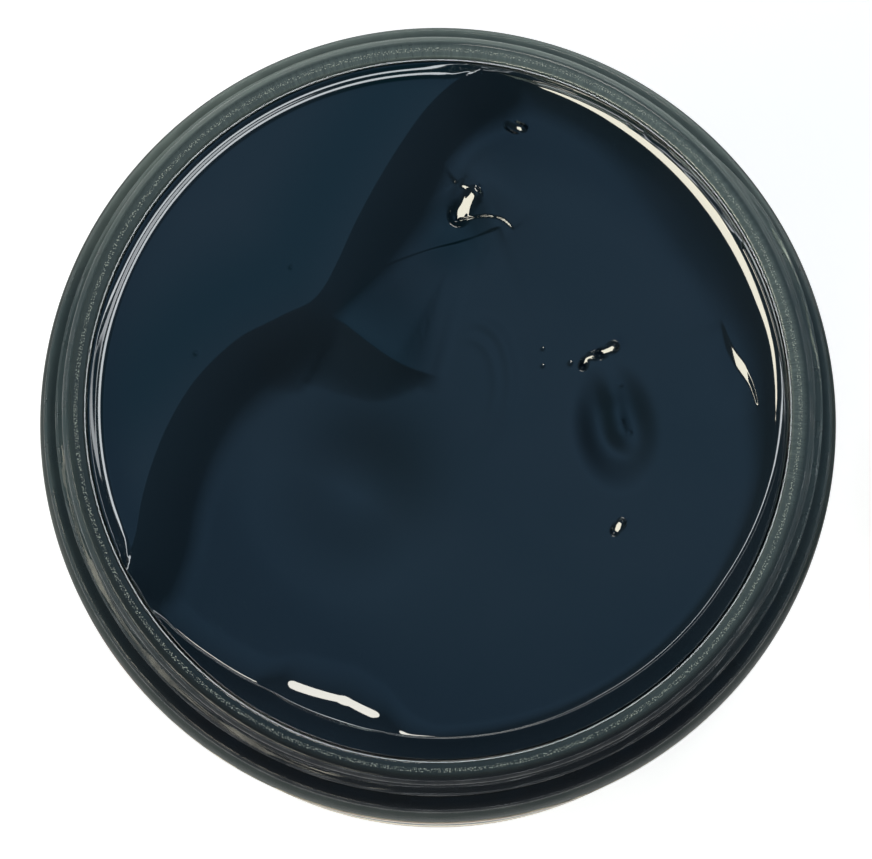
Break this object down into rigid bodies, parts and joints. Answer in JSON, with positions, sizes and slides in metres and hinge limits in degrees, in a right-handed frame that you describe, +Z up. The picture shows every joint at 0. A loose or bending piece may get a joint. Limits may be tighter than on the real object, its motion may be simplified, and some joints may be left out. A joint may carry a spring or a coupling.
{
  "type": "paint jar",
  "caption": "Open clear screw-top jar of thick dark navy paint with a wrap-round label, its ribbed cap taken off and lying beside it mouth up.",
  "frame": {"origin": "centre of the jar's standing ring, on the surface that the jar and its cap stand on", "axes": "+Z up the jar's axis, out of its mouth; +X from the jar towards the cap lying beside it; +Y to the jar's back"},
  "size_m": [0.2017, 0.0948, 0.088],
  "materials": {
    "clear_pet": "clear, glossy, moulded",
    "navy_paint": "wet gloss",
    "label_print": "printed, satin varnish",
    "cap_plastic": "moulded, fine matt texture",
    "liner_foam": "matt foam"
  },
  "bodies": {
    "jar_body": {"jar": "clear_pet", "paint": "navy_paint", "wall_smears": "navy_paint", "label": "label_print"},
    "cap_liner": {"lid_liner": "liner_foam"},
    "cap_shell": {"lid_shell": "cap_plastic"}
  },
  "joints": [
    {"name": "lid_lift", "type": "slide", "parent": "jar_body", "child": "cap_liner", "axis": [0, 0, 1], "range_m": [0, 0.1]},
    {"name": "lid_turn", "type": "hinge", "parent": "cap_liner", "child": "cap_shell", "pos_m": [0.108, 0, 0.0024], "axis": [0, 0, 1], "continuous": true}
  ]
}
